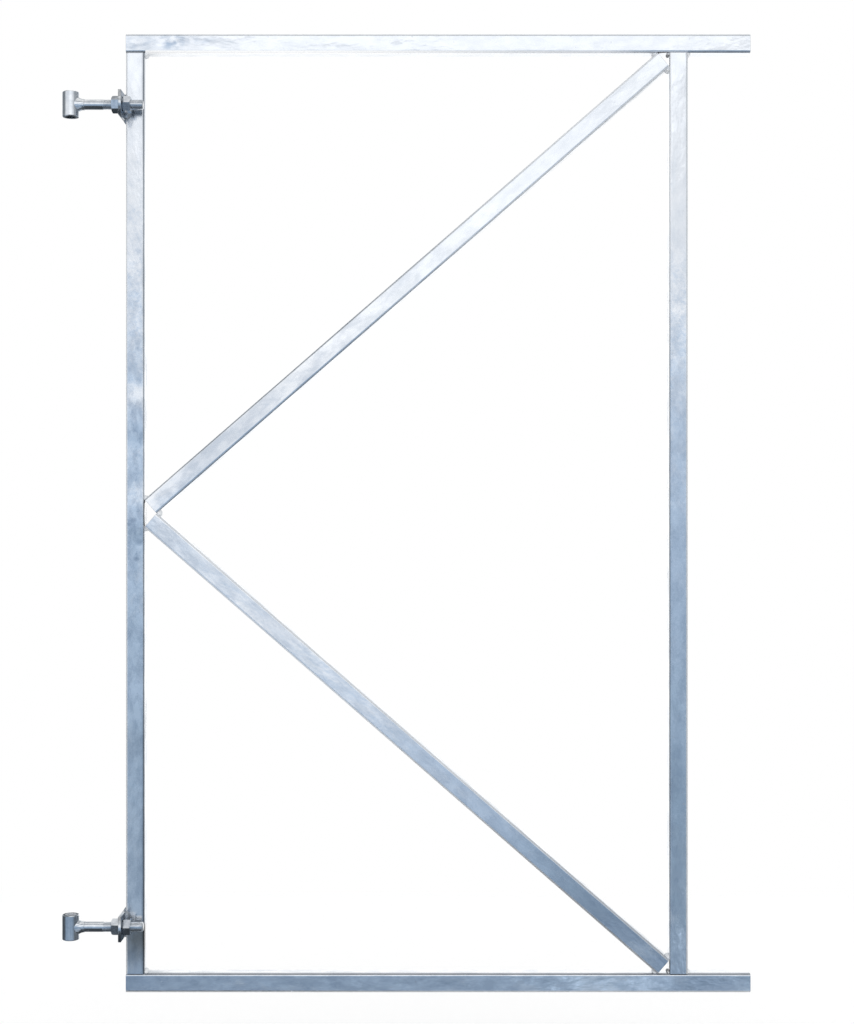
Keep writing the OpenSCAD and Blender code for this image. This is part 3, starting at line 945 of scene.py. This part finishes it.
def addFloor():
    low, high = cadBox
    level = low.z - floorShape["clearance"]
    left, right = low.x - floorShape["spread"], high.x + floorShape["spread"]
    front, back = -floorShape["front"], floorShape["back"]
    mesh = bpy.data.meshes.new("floor")
    corners = [(left, front, level), (right, front, level), (right, back, level), (left, back, level)]
    mesh.from_pydata(corners, [], [(0, 1, 2, 3)])
    mesh.materials.append(floorMaterial(
        ((left + right) / 2, (front + back) / 2, level), ((right - left) / 2, (back - front) / 2, 1)))
    floor = placeObject("floor", mesh)
    floor.visible_glossy = False


# The camera looks straight at the leaf; the picture is 1024 pixels high
cameraShape = {
    "aimX": 0.571, "aimZ": 0.685, "scale": 1.6163 * millimetre, "focalPixels": 1700, "pictureHeight": 1024,
    "sensor": 36.0, "farthest": 100,
}

# A bowl round it all that only the metal reflects: white above and bluish below in front, dim sides,
# a pale ground with dark mats on it, and behind the leaf a white panel with a dark flag beside it
bowlShape = {
    "radius": 4.5, "low": -2.2, "high": 3.0, "topRadius": 2.0, "topHigh": 4.6, "hubRadius": 0.05, "steps": 72,
}
surroundTones = {
    "front": [
        (0.165, (0.34, 0.445, 0.585)), (0.235, (0.235, 0.31, 0.405)), (0.33, (0.28, 0.39, 0.52)),
        (0.50, (0.43, 0.555, 0.72)), (0.635, (0.55, 0.68, 0.85)), (0.68, (0.70, 0.80, 0.93)),
        (0.76, (1.0, 1.02, 1.05))],
    "left": [(0.2, (0.08, 0.095, 0.11)), (0.5, (0.15, 0.17, 0.19)), (0.9, (0.25, 0.27, 0.29))],
    "right": [(0.2, (0.12, 0.14, 0.16)), (0.5, (0.22, 0.245, 0.275)), (0.9, (0.40, 0.43, 0.46))],
    "back": [(0.2, (0.30, 0.335, 0.37)), (0.5, (0.52, 0.56, 0.60)), (0.9, (0.78, 0.81, 0.84))],
    "ground": (0.42, 0.49, 0.58), "mat": (0.06, 0.07, 0.08), "slant": 0.06,
}
# where one side gives way to the next, as shares of the radius
surroundFades = {
    "leftToRight": (-0.1, 0.3), "frontToSides": (-0.35, 0.10), "sidesToBack": (0.45, 0.70),
    "rightward": (-0.6, 0.2), "sooner": 0.22, "soonerRight": 0.36,
}
panel = {"left": -0.5, "right": 2.2, "low": -1.3, "high": 2.7, "soft": 0.3, "tone": (1.25, 1.25, 1.25)}
flag = {"left": -1.35, "right": -0.72, "low": -0.2, "high": 1.6, "soft": 0.1, "tone": (0.10, 0.115, 0.13)}
# the mats lie under the leaf and under the hinges
mats = [
    {"left": 0.0, "right": 5.0, "front": -0.9, "back": 1.4, "soft": 0.4},
    {"left": -1.3, "right": 0.35, "front": -4.0, "back": 4.0, "soft": 0.2},
]
# patches low in front: where they lie across and up, how far they reach, their colour and amount
glows = [
    {"at": (-0.95, -2.20), "reach": (1.05, 0.45), "tone": (0.04, 0.05, 0.06), "amount": 1.0},
    {"at": (1.38, -1.42), "reach": (0.38, 0.30), "tone": (0.80, 1.00, 1.25), "amount": 1.0},
    {"at": (-0.9, -0.50), "reach": (1.30, 0.90), "tone": (0.52, 0.64, 0.79), "amount": 0.5},
]


def surroundMaterial():
    material, g = newMaterial("surround")
    x, y, z = g.split(g.add("ShaderNodeTexCoord", out="Object"))
    low, high, radius = bowlShape["low"], bowlShape["high"], bowlShape["radius"]
    height = g.clamp((z + surroundTones["slant"] * (x - cameraShape["aimX"]) - low) / (high - low))
    front, left, right, back = [
        g.add("ShaderNodeValToRGB", {"stops": surroundTones[part]}, {"Fac": height}, "Color")
        for part in ("front", "left", "right", "back")]
    for glow in glows:
        aside = g.combine((x - glow["at"][0]) / glow["reach"][0], 0, (z - glow["at"][1]) / glow["reach"][1])
        near = 1 - g.smooth(g.vector("LENGTH", aside, out="Value"), 0.1, 1.0)
        front = g.mixColour(near * glow["amount"], front, glow["tone"])
    # the front gives way to the sides sooner on the right, and the sides to the back
    across, away = x / radius, y / radius
    dim = g.mixColour(g.smooth(across, *surroundFades["leftToRight"]), left, right)
    sooner = surroundFades["sooner"] + surroundFades["soonerRight"] * g.smooth(across, *surroundFades["rightward"])
    tone = g.mixColour(g.smooth(away + sooner, *surroundFades["frontToSides"]), front, dim)
    tone = g.mixColour(g.smooth(away, *surroundFades["sidesToBack"]), tone, back)
    ground = surroundTones["ground"]
    for mat in mats:
        inWidth = g.within(x, mat["left"], mat["right"], mat["soft"])
        inDepth = g.within(y, mat["front"], mat["back"], mat["soft"])
        ground = g.mixColour(inWidth * inDepth, ground, surroundTones["mat"])
    tone = g.mixColour(z < low + 0.01, tone, ground)
    for board in (panel, flag):
        inWidth = g.within(x, board["left"], board["right"], board["soft"])
        inHeight = g.within(z, board["low"], board["high"], board["soft"])
        tone = g.mixColour(inWidth * inHeight * (y > 0.5 * radius), tone, board["tone"])
    light = g.add("ShaderNodeEmission", None, {"Color": tone, "Strength": 1.0})
    g.add("ShaderNodeOutputMaterial", None, {"Surface": light})
    return material


def addSurround():
    low, high, wide = bowlShape["low"], bowlShape["high"], bowlShape["radius"]
    hub, top = (bowlShape["hubRadius"], low), (bowlShape["topRadius"], bowlShape["topHigh"])
    centre = (cadBox[0] + cadBox[1]) / 2
    steps = bowlShape["steps"]
    angles = [2 * math.pi * i / steps for i in range(steps)]
    bowl = bmesh.new()
    rings = [
        [bowl.verts.new((centre.x + radius * math.cos(a), radius * math.sin(a), z)) for a in angles]
        for radius, z in (hub, (wide, low), (wide, high), top)]
    for first, second in zip(rings, rings[1:]):
        for i in range(steps):
            bowl.faces.new((first[i], first[(i + 1) % steps], second[(i + 1) % steps], second[i]))
    mesh = bpy.data.meshes.new("surround")
    bowl.to_mesh(mesh)
    bowl.free()
    mesh.materials.append(surroundMaterial())
    surround = placeObject("surround", mesh)
    surround.visible_camera = False
    surround.visible_diffuse = False
    surround.visible_shadow = False


def addWorld():
    world = bpy.data.worlds.new("white_studio")
    scene.world = world
    world.use_nodes = True
    background = world.node_tree.nodes["Background"]
    background.inputs["Color"].default_value = (1.0, 1.0, 1.0, 1.0)
    background.inputs["Strength"].default_value = 1.0


# One wide soft box above and behind the camera, a little brighter than the white round it
softBox = {"place": (0.57, -4.0, 3.0), "aim": (0.57, 0.0, 0.9), "width": 5.0, "height": 2.6, "brightness": 0.32}


def addLamp():
    lamp = bpy.data.lights.new("soft_box", "AREA")
    lamp.shape = "RECTANGLE"
    lamp.size, lamp.size_y = softBox["width"], softBox["height"]
    lamp.energy = softBox["brightness"] * math.pi * softBox["width"] * softBox["height"]
    holder = placeObject("soft_box", lamp)
    holder.location = softBox["place"]
    aim = Vector(softBox["aim"]) - Vector(softBox["place"])
    holder.rotation_euler = aim.to_track_quat("-Z", "Y").to_euler()


def addCamera():
    data = bpy.data.cameras.new("camera")
    data.sensor_width = cameraShape["sensor"]
    data.lens = data.sensor_width * cameraShape["focalPixels"] / cameraShape["pictureHeight"]
    data.clip_end = cameraShape["farthest"]
    camera = placeObject("camera", data)
    distance = cameraShape["focalPixels"] * cameraShape["scale"]
    camera.location = (cameraShape["aimX"], frontY - distance, cameraShape["aimZ"])
    camera.rotation_euler = (quarter, 0, 0)
    scene.camera = camera


addFloor()
addSurround()
addWorld()
addLamp()
addCamera()
scene.view_settings.view_transform = "Standard"
print("stage, lamp and camera set")

bpy.context.view_layer.update()
